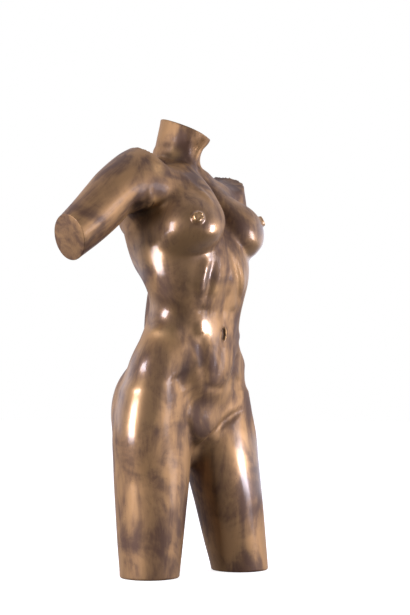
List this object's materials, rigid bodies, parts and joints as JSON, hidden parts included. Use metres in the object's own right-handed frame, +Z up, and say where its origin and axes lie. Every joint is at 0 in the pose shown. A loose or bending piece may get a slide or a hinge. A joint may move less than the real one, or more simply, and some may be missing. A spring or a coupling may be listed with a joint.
{
  "type": "torso sculpture",
  "caption": "Headless standing nude torso of a woman in glossy brown-gold bronze, arms and thighs cut off flat, standing on the cut thighs.",
  "frame": {"origin": "on the floor, at the middle of the box around the sculpture", "axes": "+Z up, the figure faces -Y, its own left is +X and its abducted right arm reaches to -X"},
  "size_m": [0.5778, 0.248, 0.8687],
  "materials": {
    "bronze": "glossy brown-gold bronze patina, rubbed brighter on the raised places"
  },
  "bodies": {
    "root": {"torso": "bronze"}
  },
  "joints": []
}
